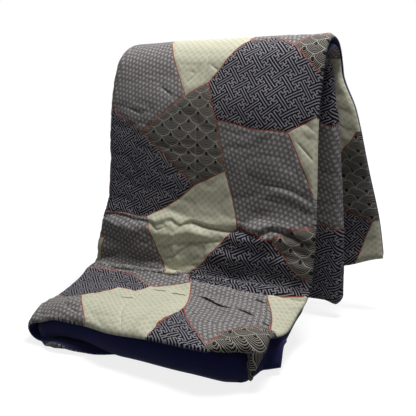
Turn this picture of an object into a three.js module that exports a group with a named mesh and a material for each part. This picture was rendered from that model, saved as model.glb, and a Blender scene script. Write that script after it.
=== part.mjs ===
// A kotatsu futon, folded lengthwise into four layers and draped over a plain legless floor chair.
// Millimetres and degrees. +Z is up and the chair faces -Y. The origin is the middle of the seat's underside.
import * as THREE from "three";

// ---------------------------------------------------------------- driving dimensions
const CLOTH = 16; // thickness of the filled, quilted cloth
const LAYER_GAP = 5; // air between two layers
const HEM = 5; // thickness left at a hem
const HEM_SIDE = 12; // thickness one strip in from it
const REST_GAP = 0.3; // cloth above the seat board it lies on
const EDGE_GAP = 2.5; // cloth round the edges of the chair
const WRAP_GAP = 2; // the inner left wrap inside the outer one, beyond a layer's gap
const SEAT = { width: 400, depth: 380, thick: 30, corner: 30 };
const BACK = { top: 669, recline: 9, thick: 30, stile: 35, rail: 62, slats: 3, slat: 70, slatThick: 20 };
const BEND_RADIUS = 100; // the cloth's chair side between seat and back
const ANCHOR_Y = -140; // the layers lie parallel behind this line and find their own way in front of it

// Each layer, from the outside in: its place in the stack and the height of its rear hem. Lift is the share of
// the back's ridges that it follows, and sag the share of the drooping margins.
const LAYERS = {
  first: { order: 3, rearHem: 134, lift: 1, sag: 1 },
  second: { order: 2, rearHem: 128, lift: 0.35, sag: 0.9 },
  third: { order: 1, rearHem: 52, lift: 0, sag: 0 },
  fourth: { order: 0, rearHem: 40, lift: 0, sag: 0 },
};

// How each layer runs on in front of the anchor line, at places across the seat: how far it reaches, and the
// legs it walks, each a length and a turn downwards in degrees.
const FRONTS = {
  first: [
    { x: -300, reach: 152, legs: [[80, 0], [72, 15], [200, 0]] },
    { x: -150, reach: 154, legs: [[90, 0], [64, 14], [200, 0]] },
    { x: -40, reach: 186, legs: [[112, 0], [74, 10], [200, 0]] },
    { x: 60, reach: 200, legs: [[124, 0], [76, 9], [200, 0]] },
    { x: 190, reach: 220, legs: [[138, 0], [82, 8], [200, 0]] },
    { x: 320, reach: 213, legs: [[138, 0], [82, 8], [200, 0]] },
  ],
  second: [
    { x: -300, reach: 146, legs: [[100, 0], [48, 30], [22, 0], [1, 0], [200, 0]] },
    { x: -160, reach: 188, legs: [[126, 0], [62, 108], [22, 0], [1, 0], [200, 0]] },
    { x: -40, reach: 243, legs: [[146, 0], [75, 125], [22, 0], [1, 0], [200, 0]] },
    { x: 220, reach: 243, legs: [[146, 0], [75, 125], [22, 0], [1, 0], [200, 0]] },
    { x: 262, reach: 146, legs: [[30, 0], [36, 64], [20, 0], [26, 116], [200, 0]] },
  ],
  third: [
    { x: -320, reach: 112, legs: [[58, 0], [34, 4], [20, 0], [34, -4], [200, 0]] },
    { x: -160, reach: 126, legs: [[58, 0], [34, 22], [20, 0], [34, -22], [200, 0]] },
    { x: 0, reach: 136, legs: [[58, 0], [34, 22], [20, 0], [34, -22], [200, 0]] },
  ],
  fourth: [
    { x: -330, reach: 128, legs: [[60, 0], [34, 4], [28, 0], [40, -4], [28, 0]] },
    { x: -215, reach: 190, legs: [[60, 0], [34, 26], [28, 0], [40, -26], [28, -52]] },
    { x: -130, reach: 172, legs: [[60, 0], [34, 26], [28, 0], [40, -26], [28, -20]] },
    { x: -50, reach: 145, legs: [[60, 0], [34, 26], [28, 0], [40, -26], [28, 0]] },
  ],
};

// Margins that droop beside the seat: up to `drop` below the flat stack between two places across it, and
// between two places along the run.
const LEFT_SAG = { drop: 25, from: -213, to: -300, full: -60, none: 110 };
const RIGHT_SAG = { drop: 29, from: 215, to: 300, full: 0, none: 170, fade: -140 };

// Outermost x of the folded strip along its run. Run is 0 at the anchor line and grows towards the rear hem.
const EDGES = [
  { run: -200, leftWrap: -316, rightFold: 205, firstHem: 340, secondHem: 298 },
  { run: -110, leftWrap: -326, rightFold: 214, firstHem: 312, secondHem: 298 },
  { run: 0, leftWrap: -338, rightFold: 228, firstHem: 291, secondHem: 298 },
  { run: 122, leftWrap: -352, rightFold: 258, firstHem: 294, secondHem: 288 },
  { run: 207, leftWrap: -350, rightFold: 268, firstHem: 294, secondHem: 278 },
  { run: 300, leftWrap: -331, rightFold: 268, firstHem: 297, secondHem: 278 },
  { run: 430, leftWrap: -318, rightFold: 266, firstHem: 293, secondHem: 276 },
  { run: 640, leftWrap: -325, rightFold: 260, firstHem: 284, secondHem: 272 },
  { run: 756, leftWrap: -316, rightFold: 264, firstHem: 287, secondHem: 280 },
  { run: 842, leftWrap: -303, rightFold: 274, firstHem: 292, secondHem: 294 },
  { run: 927, leftWrap: -292, rightFold: 283, firstHem: 297, secondHem: 299 },
  { run: 1036, leftWrap: -286, rightFold: 297, firstHem: 322, secondHem: 325 },
  { run: 1258, leftWrap: -276, rightFold: 317, firstHem: 371, secondHem: 374 },
  { run: 1400, leftWrap: -272, rightFold: 324, firstHem: 396, secondHem: 399 },
  { run: 1527, leftWrap: -270, rightFold: 325, firstHem: 408, secondHem: 411 },
];

// Soft ridges pushed up on the back's lower half, where the first layer has cloth to spare.
const RIDGES = [
  { run: 249, half: 34, height: 15, from: -400, to: 170, fade: 120 },
  { run: 322, half: 30, height: 12, from: -400, to: 60, fade: 110 },
  { run: 400, half: 34, height: 5, from: -400, to: 0, fade: 90 },
];

// The first layer's front right corner hangs over a slanted line on the seat.
const CORNER = { from: [305, -232], to: [205, -358], radius: 27, angle: 98 };

// The pair of outer layers swings back behind the chair, most at its right, and its hem rises there.
const REAR_FLARE = { back: 50, leftShare: 0.35, left: -300, right: 380, start: 960 };
const HEM_RISE = { height: 33, from: 290, to: 420 };

// How the run is cut into stations, and each layer's width into strips, both as shares.
const STATIONS = {
  front: [0, 0.09, 0.18, 0.28, 0.39, 0.51, 0.66, 0.82],
  seat: [0, 0.35, 0.7],
  bend: [0, 0.2, 0.4, 0.6, 0.8],
  back: [0, 0.04, 0.08, 0.12, 0.16, 0.205, 0.25, 0.3, 0.37, 0.55, 0.78],
  top: [0, 0.125, 0.25, 0.375, 0.5, 0.625, 0.75, 0.875],
  rear: [0, 0.1, 0.25, 0.45, 0.65, 0.82, 1],
};
const OUTER_STRIPS = [0, 0.03, 0.065, 0.1, 0.14, 0.19, 0.27, 0.42, 0.6, 0.76, 0.88, 1];
const INNER_STRIPS = [0, 0.09, 0.18, 0.5, 0.82, 0.91, 1];

// ---------------------------------------------------------------- sizes worked out from them
const radians = THREE.MathUtils.degToRad;
const lerp = THREE.MathUtils.lerp;
const PITCH = CLOTH + LAYER_GAP;
const STACK = 4 * CLOTH + 3 * LAYER_GAP;
const LEAN = radians(BACK.recline);
const SEAT_TURN = Math.PI / 2 - LEAN;
const TOP_TURN = Math.PI - LEAN;
const CLOTH_BASE = SEAT.thick + REST_GAP;
const RAIL_RADIUS = BACK.thick / 2;
const TOP_RADIUS = RAIL_RADIUS + EDGE_GAP;
const TOP_Z = BACK.top - RAIL_RADIUS;
// The outer face of the stack meets seat and back on the line y = 0, so the inner face meets them behind it.
const INNER_CREASE_Y = STACK / Math.cos(LEAN) - STACK * Math.tan(LEAN);
const BEND_Y = INNER_CREASE_Y - BEND_RADIUS * Math.tan(SEAT_TURN / 2);
const BEND_Z = CLOTH_BASE + BEND_RADIUS;
const BACK_LENGTH =
  (TOP_Z + TOP_RADIUS * Math.sin(LEAN) - (BEND_Z - BEND_RADIUS * Math.sin(LEAN))) / Math.cos(LEAN);
const TOP_Y =
  BEND_Y + BEND_RADIUS * Math.cos(LEAN) + BACK_LENGTH * Math.sin(LEAN) + TOP_RADIUS * Math.cos(LEAN);

// Length of each part of the run, on the middle of the stack, with the front and rear given even lengths.
const FRONT_RUN = 200;
const REAR_RUN = 600;
const RUNS = {
  front: FRONT_RUN,
  seat: BEND_Y - ANCHOR_Y,
  bend: SEAT_TURN * (BEND_RADIUS - STACK / 2),
  back: BACK_LENGTH,
  top: TOP_TURN * (TOP_RADIUS + STACK / 2),
  rear: REAR_RUN,
};
const REAR_START = Object.values(RUNS).reduce((sum, run) => sum + run, 0) - FRONT_RUN - REAR_RUN;

function smooth(value, low, high) {
  const t = THREE.MathUtils.clamp((value - low) / (high - low), 0, 1);
  return t * t * (3 - 2 * t);
}

// A column of a table whose rows have a rising run, read smoothly between its rows.
function readTable(rows, column, run) {
  const next = rows.findIndex((row) => row.run > run);
  if (next === 0) return rows[0][column];
  if (next < 0) return rows[rows.length - 1][column];
  const slope = (k) => {
    const before = rows[Math.max(k - 1, 0)];
    const after = rows[Math.min(k + 1, rows.length - 1)];
    return (after[column] - before[column]) / (after.run - before.run);
  };
  const low = rows[next - 1];
  const high = rows[next];
  const span = high.run - low.run;
  const t = (run - low.run) / span;
  const rise = high[column] - low[column];
  return (
    low[column] +
    rise * t * t * (3 - 2 * t) +
    span * t * (1 - t) * (slope(next - 1) * (1 - t) - slope(next) * t)
  );
}

// ---------------------------------------------------------------- the way the cloth runs
// How far a layer reaches in front of the anchor line at x, and the legs it walks there.
function frontAt(layer, x) {
  const places = FRONTS[layer];
  const next = places.findIndex((place) => place.x > x);
  if (next === 0) return places[0];
  if (next < 0) return places.at(-1);
  const [low, high] = [places[next - 1], places[next]];
  const t = smooth(x, low.x, high.x);
  const between = (leg, other) => leg.map((value, k) => lerp(value, other[k], t));
  return {
    reach: lerp(low.reach, high.reach, t),
    legs: low.legs.map((leg, k) => between(leg, high.legs[k])),
  };
}

// Walks the legs towards -Y and returns [y, z, heading], where heading is the slope of the way back.
function walk(y, z, legs, distance) {
  let heading = 0;
  let left = distance;
  for (const [length, turnDegrees] of legs) {
    if (left <= 0) break;
    const part = Math.min(left, length);
    const bend = radians(turnDegrees) / length;
    const next = heading + bend * part;
    if (bend === 0) {
      y -= part * Math.cos(heading);
      z -= part * Math.sin(heading);
    } else {
      y -= (Math.sin(next) - Math.sin(heading)) / bend;
      z -= (Math.cos(heading) - Math.cos(next)) / bend;
    }
    heading = next;
    left -= part;
  }
  return [y, z, heading];
}

// Middle of a layer at a station, before the cloth's unevenness: [y, z, heading].
function layerPath(layer, station, x) {
  const { order, rearHem } = LAYERS[layer];
  const offset = CLOTH / 2 + PITCH * order;
  const { part, share } = station;
  if (part === "front") {
    const { reach, legs } = frontAt(layer, x);
    return walk(ANCHOR_Y, CLOTH_BASE + offset, legs, reach * (1 - share));
  }
  if (part === "seat") return [lerp(ANCHOR_Y, BEND_Y, share), CLOTH_BASE + offset, 0];
  if (part === "bend" || part === "back") {
    const heading = part === "bend" ? SEAT_TURN * share : SEAT_TURN;
    const radius = BEND_RADIUS - offset;
    const along = part === "back" ? BACK_LENGTH * share : 0;
    return [
      BEND_Y + radius * Math.sin(heading) + along * Math.cos(heading),
      BEND_Z - radius * Math.cos(heading) + along * Math.sin(heading),
      heading,
    ];
  }
  if (part === "top") {
    const heading = SEAT_TURN - TOP_TURN * share;
    const radius = TOP_RADIUS + offset;
    return [TOP_Y - radius * Math.sin(heading), TOP_Z + radius * Math.cos(heading), heading];
  }
  const hem = order >= 2 ? rearHem + HEM_RISE.height * smooth(x, HEM_RISE.from, HEM_RISE.to) : rearHem;
  return [TOP_Y + TOP_RADIUS + offset, lerp(TOP_Z, hem, share), -Math.PI / 2];
}

// ---------------------------------------------------------------- the cloth's unevenness
function ridgeHeight(x, run) {
  return RIDGES.reduce((sum, ridge) => {
    const t = (run - ridge.run) / ridge.half;
    if (Math.abs(t) >= 1) return sum;
    const left = smooth(x, ridge.from - ridge.fade, ridge.from);
    const right = 1 - smooth(x, ridge.to, ridge.to + ridge.fade);
    return sum + ridge.height * left * right * (1 - t * t) ** 2;
  }, 0);
}

// Turns what lies past the slanted line down over a round edge.
function hangCorner(point) {
  const [fromX, fromY] = CORNER.from;
  const length = Math.hypot(CORNER.to[0] - fromX, CORNER.to[1] - fromY);
  const outX = (fromY - CORNER.to[1]) / length;
  const outY = (CORNER.to[0] - fromX) / length;
  const past = (point.x - fromX) * outX + (point.y - fromY) * outY;
  if (past <= 0) return;
  const most = radians(CORNER.angle);
  const angle = Math.min(past / CORNER.radius, most);
  const rest = Math.max(past - CORNER.radius * most, 0);
  const out = CORNER.radius * Math.sin(angle) + rest * Math.cos(most) - past;
  point.x += out * outX;
  point.y += out * outY;
  point.z -= CORNER.radius * (1 - Math.cos(angle)) + rest * Math.sin(most);
}

// How far the margins beside the seat droop.
function sagDepth(x, run, share) {
  const left = smooth(x, LEFT_SAG.from, LEFT_SAG.to) * (1 - smooth(run, LEFT_SAG.full, LEFT_SAG.none));
  const right = smooth(x, RIGHT_SAG.from, RIGHT_SAG.to) * (1 - smooth(run, RIGHT_SAG.full, RIGHT_SAG.none));
  const fade = smooth(run, RIGHT_SAG.fade, RIGHT_SAG.full);
  return LEFT_SAG.drop * left + RIGHT_SAG.drop * share * right * fade;
}

function layerPoint(layer, station, x) {
  const { order, lift, sag } = LAYERS[layer];
  const { run } = station;
  const [y, z, heading] = layerPath(layer, station, x);
  const point = new THREE.Vector3(x, y, z);
  const raised = lift * ridgeHeight(x, run);
  point.y -= raised * Math.sin(heading);
  point.z += raised * Math.cos(heading) - sagDepth(x, run, sag);
  if (order >= 2) {
    const width = lerp(REAR_FLARE.leftShare, 1, smooth(x, REAR_FLARE.left, REAR_FLARE.right));
    point.y += REAR_FLARE.back * width * smooth(run, REAR_FLARE.start, REAR_START + REAR_RUN);
  }
  if (layer === "first") hangCorner(point);
  point.z = Math.max(point.z, CLOTH / 2 + REST_GAP);
  return point;
}

// ---------------------------------------------------------------- the folded section at one station
const WRAPS = {
  outer: { half: (3 * PITCH) / 2, steps: 8 },
  inner: { half: PITCH / 2, steps: 5 },
};

// The points between two layers' edges, round a half turn that bulges to one side (-1 left, 1 right).
function wrapPoints(from, to, wrap, side) {
  return Array.from({ length: wrap.steps - 1 }, (_, k) => {
    const angle = (Math.PI * (k + 1)) / wrap.steps;
    const point = from.clone().lerp(to, (1 - Math.cos(angle)) / 2);
    point.x += side * wrap.half * Math.sin(angle);
    return point;
  });
}

function sectionAt(station) {
  const edge = (column) => readTable(EDGES, column, station.run);
  const outside = (wrap) => wrap.half + CLOTH / 2;
  const outerLeft = edge("leftWrap") + outside(WRAPS.outer);
  const innerLeft = edge("leftWrap") + PITCH + WRAP_GAP + outside(WRAPS.inner);
  const rightFold = edge("rightFold") - outside(WRAPS.inner);
  const row = (layer, from, to, strips) => strips.map((t) => layerPoint(layer, station, lerp(from, to, t)));
  const first = row("first", edge("firstHem"), outerLeft, OUTER_STRIPS);
  const fourth = row("fourth", outerLeft, rightFold, INNER_STRIPS);
  const third = row("third", rightFold, innerLeft, INNER_STRIPS);
  const second = row("second", edge("secondHem"), innerLeft, OUTER_STRIPS).reverse();
  return [
    ...first,
    ...wrapPoints(first.at(-1), fourth[0], WRAPS.outer, -1),
    ...fourth,
    ...wrapPoints(fourth.at(-1), third[0], WRAPS.inner, 1),
    ...third,
    ...wrapPoints(third.at(-1), second[0], WRAPS.inner, -1),
    ...second,
  ];
}

function allStations() {
  let start = -FRONT_RUN;
  return Object.entries(STATIONS).flatMap(([part, shares]) => {
    const stations = shares.map((share) => ({ part, share, run: start + RUNS[part] * share }));
    start += RUNS[part];
    return stations;
  });
}

// ---------------------------------------------------------------- the futon as one filled solid
function futonGeometry() {
  const middle = allStations().map(sectionAt);
  const rows = middle.length;
  const columns = middle[0].length;
  const clampedTo = (k, count) => Math.min(Math.max(k, 0), count - 1);
  const at = (i, j) => middle[clampedTo(i, rows)][clampedTo(j, columns)];
  const outward = middle.map((row, i) =>
    row.map((_, j) => {
      const along = at(i + 1, j).clone().sub(at(i - 1, j));
      return at(i, j - 1).clone().sub(at(i, j + 1)).cross(along).normalize();
    }),
  );
  const vertices = [1, -1].flatMap((side) =>
    middle.flatMap((row, i) =>
      row.flatMap((point, j) => {
        const fromHem = Math.min(i, j, rows - 1 - i, columns - 1 - j);
        const half = ([HEM, HEM_SIDE][fromHem] ?? CLOTH) / 2;
        return point.clone().addScaledVector(outward[i][j], side * half).toArray();
      }),
    ),
  );
  const top = (i, j) => i * columns + j;
  const under = (i, j) => rows * columns + top(i, j);
  const faces = [];
  const quad = (a, b, c, d) => faces.push(a, b, c, a, c, d);
  for (let i = 0; i < rows - 1; i++) {
    for (let j = 0; j < columns - 1; j++) {
      // Each four-sided patch is split along the diagonal that bends least.
      const straight = outward[i][j].dot(outward[i + 1][j + 1]) >= outward[i + 1][j].dot(outward[i][j + 1]);
      const corners = [[i, j], [i + 1, j], [i + 1, j + 1], [i, j + 1]];
      if (!straight) corners.unshift(corners.pop());
      quad(...corners.map(([a, b]) => top(a, b)));
      const [first, ...others] = corners;
      quad(...[first, ...others.reverse()].map(([a, b]) => under(a, b)));
    }
    quad(top(i, 0), under(i, 0), under(i + 1, 0), top(i + 1, 0));
    quad(top(i, columns - 1), top(i + 1, columns - 1), under(i + 1, columns - 1), under(i, columns - 1));
  }
  for (let j = 0; j < columns - 1; j++) {
    quad(top(0, j), top(0, j + 1), under(0, j + 1), under(0, j));
    quad(top(rows - 1, j), under(rows - 1, j), under(rows - 1, j + 1), top(rows - 1, j + 1));
  }
  const geometry = new THREE.BufferGeometry();
  geometry.setAttribute("position", new THREE.Float32BufferAttribute(vertices, 3));
  geometry.setIndex(faces);
  geometry.computeVertexNormals();
  return geometry;
}

// ---------------------------------------------------------------- the floor chair
function roundedRectangle(width, height, radius) {
  const shape = new THREE.Shape();
  const x = width / 2 - radius;
  const y = height / 2 - radius;
  shape.absarc(x, y, radius, 0, Math.PI / 2);
  shape.absarc(-x, y, radius, Math.PI / 2, Math.PI);
  shape.absarc(-x, -y, radius, Math.PI, 1.5 * Math.PI);
  shape.absarc(x, -y, radius, 1.5 * Math.PI, 2 * Math.PI);
  return shape;
}

function seatBoard(bevel = 4) {
  const outline = roundedRectangle(SEAT.width - 2 * bevel, SEAT.depth - 2 * bevel, SEAT.corner - bevel);
  const geometry = new THREE.ExtrudeGeometry(outline, {
    depth: SEAT.thick - 2 * bevel,
    bevelThickness: bevel,
    bevelSize: bevel,
    bevelSegments: 2,
    curveSegments: 6,
  });
  return geometry.translate(0, 0, bevel);
}

// Extrudes a side profile, drawn as (y, z), across the chair from one x to another.
function acrossChair(profile, fromX, toX, curveSegments = 10) {
  const depth = toX - fromX;
  const geometry = new THREE.ExtrudeGeometry(profile, { depth, bevelEnabled: false, curveSegments });
  const axes = new THREE.Matrix4().makeBasis(
    new THREE.Vector3(0, 1, 0),
    new THREE.Vector3(0, 0, 1),
    new THREE.Vector3(1, 0, 0),
  );
  return geometry.applyMatrix4(axes).translate(fromX, 0, 0);
}

// Points of the reclined back's side view: `down` is measured from the rail's centre along the back, and
// `out` square to it, towards the front.
function onBack(down, out) {
  return new THREE.Vector2(
    TOP_Y - down * Math.sin(LEAN) - out * Math.cos(LEAN),
    TOP_Z - down * Math.cos(LEAN) + out * Math.sin(LEAN),
  );
}

// The rail's top edge is a half round, and its lower edge is square.
function topRail() {
  const shape = new THREE.Shape();
  shape.absarc(TOP_Y, TOP_Z, RAIL_RADIUS, -LEAN, Math.PI - LEAN);
  const [front, rear] = [onBack(BACK.rail, RAIL_RADIUS), onBack(BACK.rail, -RAIL_RADIUS)];
  shape.lineTo(front.x, front.y);
  shape.lineTo(rear.x, rear.y);
  return acrossChair(shape, -SEAT.width / 2, SEAT.width / 2);
}

const STILE_TOP = BACK.rail + REST_GAP;
const STILE_FOOT = SEAT.thick + REST_GAP;

// A stile stands on the seat board, so its foot is cut level.
function stile(fromX) {
  const footDown = (out) => (TOP_Z + out * Math.sin(LEAN) - STILE_FOOT) / Math.cos(LEAN);
  const half = BACK.thick / 2;
  const shape = new THREE.Shape([
    onBack(STILE_TOP, half),
    onBack(footDown(half), half),
    onBack(footDown(-half), -half),
    onBack(STILE_TOP, -half),
  ]);
  return acrossChair(shape, fromX, fromX + BACK.stile);
}

function slat(index) {
  const inner = SEAT.width / 2 - BACK.stile - REST_GAP;
  const clear = (TOP_Z - STILE_FOOT) / Math.cos(LEAN) - STILE_TOP;
  const space = (clear - BACK.slats * BACK.slat) / (BACK.slats + 1);
  const from = STILE_TOP + space * (index + 1) + BACK.slat * index;
  const half = BACK.slatThick / 2;
  const to = from + BACK.slat;
  const shape = new THREE.Shape([onBack(from, half), onBack(to, half), onBack(to, -half), onBack(from, -half)]);
  return acrossChair(shape, -inner, inner);
}

// ---------------------------------------------------------------- the model
function mesh(name, geometry, color, roughness) {
  const material = new THREE.MeshStandardMaterial({ color, roughness, metalness: 0 });
  const made = new THREE.Mesh(geometry, material);
  made.name = name;
  return made;
}

const model = new THREE.Group();
const WOOD = 0x8a6a48;
model.add(mesh("futon", futonGeometry(), 0x3b3c45, 0.95));
model.add(mesh("seat_board", seatBoard(), WOOD, 0.55));
model.add(mesh("stile_left", stile(-SEAT.width / 2), WOOD, 0.55));
model.add(mesh("stile_right", stile(SEAT.width / 2 - BACK.stile), WOOD, 0.55));
model.add(mesh("top_rail", topRail(), WOOD, 0.55));
for (let k = 0; k < BACK.slats; k++) model.add(mesh(`back_slat_${k + 1}`, slat(k), WOOD, 0.55));

export default model;
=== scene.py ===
"""Looks of a kotatsu futon, folded lengthwise into four layers and draped over a plain legless floor chair.

The cloth is one rectangle. Its flat coordinates are metres: u runs across it and v along it, from the front
hem. u is 0 at the outer layer's free right hem and grows towards its left edge, round the outer wrap, back to
the right through the layer on the chair, round the right fold, to the left again, round the inner wrap and to
the right through the second layer to that layer's free hem.
"""

import math

import bpy
import numpy as np
from mathutils import Matrix, Vector
from mathutils.geometry import delaunay_2d_cdt
from mathutils.kdtree import KDTree


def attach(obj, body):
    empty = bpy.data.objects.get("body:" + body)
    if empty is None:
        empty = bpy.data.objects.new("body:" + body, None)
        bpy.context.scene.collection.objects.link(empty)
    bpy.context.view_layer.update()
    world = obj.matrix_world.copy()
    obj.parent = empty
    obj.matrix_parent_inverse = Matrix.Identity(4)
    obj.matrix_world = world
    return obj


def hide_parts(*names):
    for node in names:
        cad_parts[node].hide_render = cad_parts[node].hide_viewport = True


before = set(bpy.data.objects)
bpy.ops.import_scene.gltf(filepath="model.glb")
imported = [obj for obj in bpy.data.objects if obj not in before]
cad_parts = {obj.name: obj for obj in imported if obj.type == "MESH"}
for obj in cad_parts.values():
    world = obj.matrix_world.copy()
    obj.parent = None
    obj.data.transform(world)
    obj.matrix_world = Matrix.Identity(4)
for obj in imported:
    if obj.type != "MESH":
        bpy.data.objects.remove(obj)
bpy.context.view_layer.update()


def rows_of(text):
    """Rows of a table of words and numbers, without its comments."""
    rows = [line.split() for line in text.strip().split("\n") if line[0] != "#"]
    return [[word if word[0].isalpha() else float(word) for word in row] for row in rows]


# ---------------- the way the cloth runs, as in the CAD model
# Millimetres and degrees in this section.
CLOTH, LAYER_GAP = 16, 5
PITCH = CLOTH + LAYER_GAP
REST_GAP, EDGE_GAP, WRAP_GAP = 0.3, 2.5, 2
SEAT_THICK = 30
BACK_TOP, BACK_THICK, RECLINE = 669, 30, 9
BEND_RADIUS = 100
ANCHOR_Y = -140
STACK = 4 * CLOTH + 3 * LAYER_GAP
LEAN = math.radians(RECLINE)
SEAT_TURN = math.pi / 2 - LEAN
TOP_TURN = math.pi - LEAN
CLOTH_BASE = SEAT_THICK + REST_GAP
TOP_RADIUS = BACK_THICK / 2 + EDGE_GAP
TOP_Z = BACK_TOP - BACK_THICK / 2
INNER_CREASE_Y = STACK / math.cos(LEAN) - STACK * math.tan(LEAN)
BEND_Y = INNER_CREASE_Y - BEND_RADIUS * math.tan(SEAT_TURN / 2)
BEND_Z = CLOTH_BASE + BEND_RADIUS
BACK_LENGTH = (TOP_Z + TOP_RADIUS * math.sin(LEAN) - BEND_Z + BEND_RADIUS * math.sin(LEAN)) / math.cos(LEAN)
TOP_Y = BEND_Y + BEND_RADIUS * math.cos(LEAN) + BACK_LENGTH * math.sin(LEAN) + TOP_RADIUS * math.cos(LEAN)

# Each layer's place in the stack, rear hem height and share of the right margin's droop.
LAYERS = {
    "first": (3, 134, 1),
    "second": (2, 128, 0.9),
    "third": (1, 52, 0),
    "fourth": (0, 40, 0),
}
# In front of the anchor line: x, how far the layer reaches, and its legs, each a length and a turn downwards.
FRONTS = {
    "first": rows_of("""
-300 166 84 0 82 38 200 0
-150 172 92 0 80 42 200 0
-40 198 116 0 82 32 200 0
60 206 128 0 78 22 200 0
190 222 138 0 84 12 200 0
320 213 138 0 82 8 200 0
"""),
    "second": rows_of("""
-300 184 112 0 60 100 200 0
-160 190 122 0 62 108 200 0
-40 228 130 0 75 128 200 0
120 235 134 0 75 120 200 0
205 239 134 0 75 114 200 0
246 224 124 0 58 104 200 0
265 118 30 0 40 66 200 0
300 96 8 0 40 62 200 0
"""),
    "third": rows_of("""
-320 112 58 0 34 4 20 0 34 -4 200 0
-160 126 58 0 34 22 20 0 34 -22 200 0
0 136 58 0 34 22 20 0 34 -22 200 0
"""),
    "fourth": rows_of("""
-330 128 60 0 34 4 28 0 40 -4 28 0
-215 190 60 0 34 26 28 0 40 -26 28 -52
-130 172 60 0 34 26 28 0 40 -26 28 -20
-50 145 60 0 34 26 28 0 40 -26 28 0
"""),
}
# Drooping margins beside the seat: drop, from x, to x, and the runs where it is full and where it has gone.
LEFT_SAG = (21, -213, -300, -60, 110)
RIGHT_SAG = (29, 215, 300, 0, 170)
RIGHT_SAG_FADE = (-140, 0)
# Run, and the x there of the left wrap, the right fold, the first layer's hem and the second layer's hem.
EDGES = np.array(rows_of("""
-200 -320 205 322 296
-110 -340 214 290 294
-50 -347 220 289 294
0 -352 228 289 286
70 -358 246 286 280
122 -361 258 290 280
207 -354 268 294 278
300 -340 268 297 278
430 -323 266 293 276
640 -330 260 284 272
756 -323 264 287 280
842 -314 274 288 289
927 -308 283 291 291
1036 -298 297 328 330
1258 -284 317 368 371
1400 -274 324 393 396
1527 -270 325 408 411
"""))
# Soft swellings of the back: run, half width below and above it, height at the left, in the middle and at the
# right of the back, and share of it that the second layer takes.
SWELLINGS = rows_of("""
156 105 84 24 29 8 0.2
262 34 34 3 4 2 0.3
324 92 40 15 13 4 0.3
640 340 165 9 25 7 0.1
800 90 90 1 3 0 0.5
""")
SWELL_LEFT, SWELL_RIGHT = (-350, -180), (150, 285)
NARROW = 60  # a swelling that reaches less far than this above its middle wavers
CORNER_FROM, CORNER_TO, CORNER_RADIUS, CORNER_ANGLE = (305, -232), (205, -358), 24, 94
TUCK_REACH, TUCK_TURN = 0.084, math.radians(105)  # the hanging corner's front part folds in
SEAT_TOP = 0.100
FLARE_BACK, FLARE_LEFT_SHARE, FLARE_LEFT, FLARE_RIGHT, FLARE_START = 50, 0.35, -300, 380, 960
HEM_RISE, HEM_RISE_AT = 33, (290, 420)
LOW_HEM_RISE, LOW_HEM_AT = 11, (275, 318)

# Length of each part of the run, on the middle of the stack.
FRONT_RUN, REAR_RUN = 200, 600
RUNS = {
    "front": FRONT_RUN,
    "seat": BEND_Y - ANCHOR_Y,
    "bend": SEAT_TURN * (BEND_RADIUS - STACK / 2),
    "back": BACK_LENGTH,
    "top": TOP_TURN * (TOP_RADIUS + STACK / 2),
    "rear": REAR_RUN,
}
REAR_START = sum(RUNS.values()) - FRONT_RUN - REAR_RUN


def lerp(a, b, t):
    return a + (b - a) * t


def ease(t):
    return t * t * (3 - 2 * t)


def smooth(value, low, high):
    return ease(np.clip((value - low) / (high - low), 0, 1))


def read_edges(column, run):
    """A column of EDGES, read smoothly between its rows."""
    k = int(np.searchsorted(EDGES[:, 0], run, side="right"))
    if k in (0, len(EDGES)):
        return EDGES[min(k, len(EDGES) - 1), column]

    def slope(i):
        before, after = EDGES[max(i - 1, 0)], EDGES[min(i + 1, len(EDGES) - 1)]
        return (after[column] - before[column]) / (after[0] - before[0])

    low, high = EDGES[k - 1], EDGES[k]
    span = high[0] - low[0]
    t = (run - low[0]) / span
    rise = high[column] - low[column]
    turn = slope(k - 1) * (1 - t) - slope(k) * t
    return low[column] + rise * t * t * (3 - 2 * t) + span * t * (1 - t) * turn


def front_at(layer, x):
    """How far a layer reaches at each x, and the legs that it walks there."""
    table = np.array(FRONTS[layer])
    k = np.clip(np.searchsorted(table[:, 0], x, side="right") - 1, 0, len(table) - 2)
    t = smooth(x, table[k, 0], table[k + 1, 0])[:, None]
    row = lerp(table[k], table[k + 1], t)
    return row[:, 1], row[:, 2:].reshape(len(x), -1, 2)


def walk(y, z, legs, distance):
    """Where one gets from y and z, and the slope there, after a distance along the legs towards -Y."""
    y, z = np.full(len(distance), float(y)), np.full(len(distance), float(z))
    heading = np.zeros_like(y)
    left = distance.copy()
    for k in range(legs.shape[1]):
        length, turn = legs[:, k, 0], np.radians(legs[:, k, 1])
        part = np.clip(left, 0, length)
        bend = turn / length
        ahead = heading + bend * part
        straight = np.abs(bend) < 1e-9
        safe = np.where(straight, 1, bend)
        y -= np.where(straight, part * np.cos(heading), (np.sin(ahead) - np.sin(heading)) / safe)
        z -= np.where(straight, part * np.sin(heading), (np.cos(heading) - np.cos(ahead)) / safe)
        heading = ahead
        left -= part
    return y, z, heading


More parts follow.
